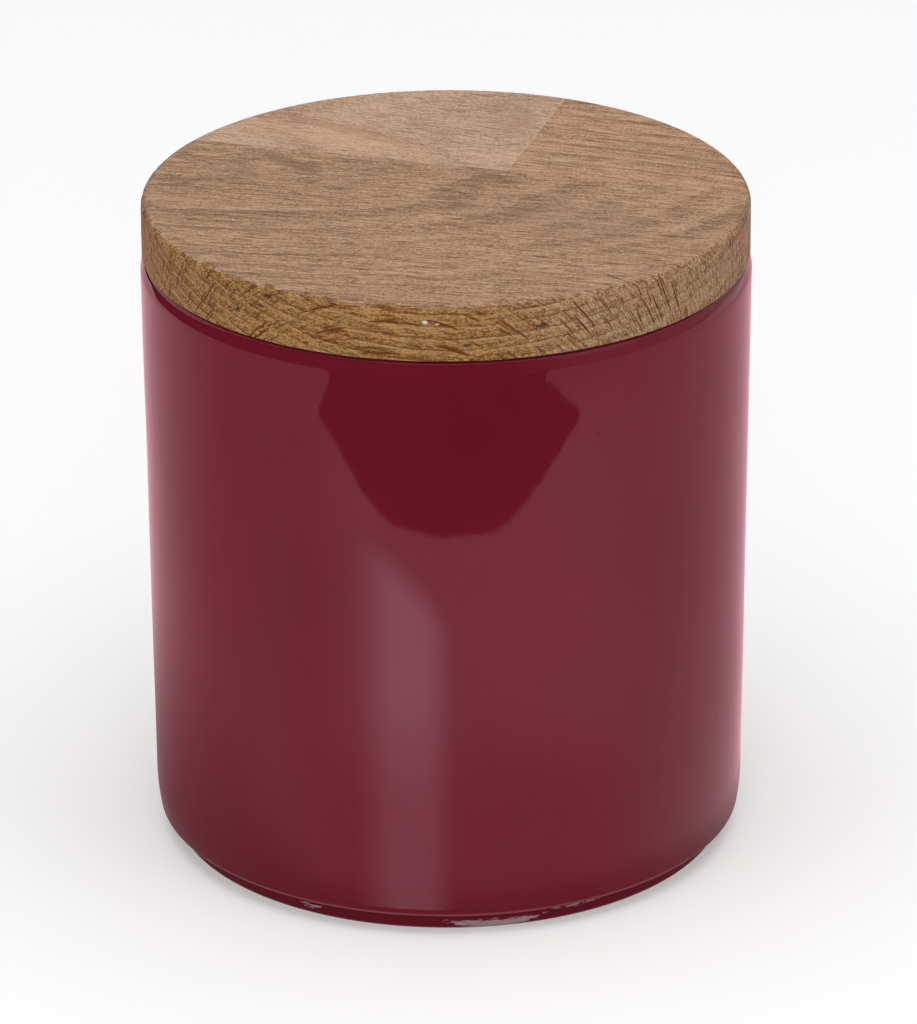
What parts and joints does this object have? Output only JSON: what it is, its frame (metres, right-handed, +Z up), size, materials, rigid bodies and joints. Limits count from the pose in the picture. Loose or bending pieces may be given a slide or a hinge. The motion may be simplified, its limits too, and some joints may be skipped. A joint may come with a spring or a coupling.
{
  "type": "storage jar",
  "caption": "Round glazed stoneware storage jar with a short inset foot, closed by a thick glued-up oak lid whose plug carries a lipped silicone seal.",
  "frame": {"origin": "centre of the circle that the foot stands on", "axes": "+Z up along the axis of the jar, +X along the grain of the lid, +Y towards the rear course of staves"},
  "size_m": [0.1102, 0.1102, 0.1221],
  "materials": {
    "glaze": "high gloss burgundy glaze",
    "oak_front": "oiled oak, turned and sanded",
    "oak_rear_left": "oiled oak, turned and sanded",
    "oak_rear_right": "oiled oak, turned and sanded",
    "silicone": "matt translucent silicone"
  },
  "bodies": {
    "jar": {"jar_body": "glaze"},
    "seal": {"seal_ring": "silicone"},
    "lid": {"lid_stave_front": "oak_front", "lid_stave_rear_left": "oak_rear_left", "lid_stave_rear_right": "oak_rear_right"}
  },
  "joints": [
    {"name": "lid_lift", "type": "slide", "parent": "jar", "child": "seal", "axis": [0, 0, 1], "range_m": [0, 0.12]},
    {"name": "lid_turn", "type": "hinge", "parent": "seal", "child": "lid", "pos_m": [0, 0, 0.1121], "axis": [0, 0, 1], "continuous": true}
  ]
}
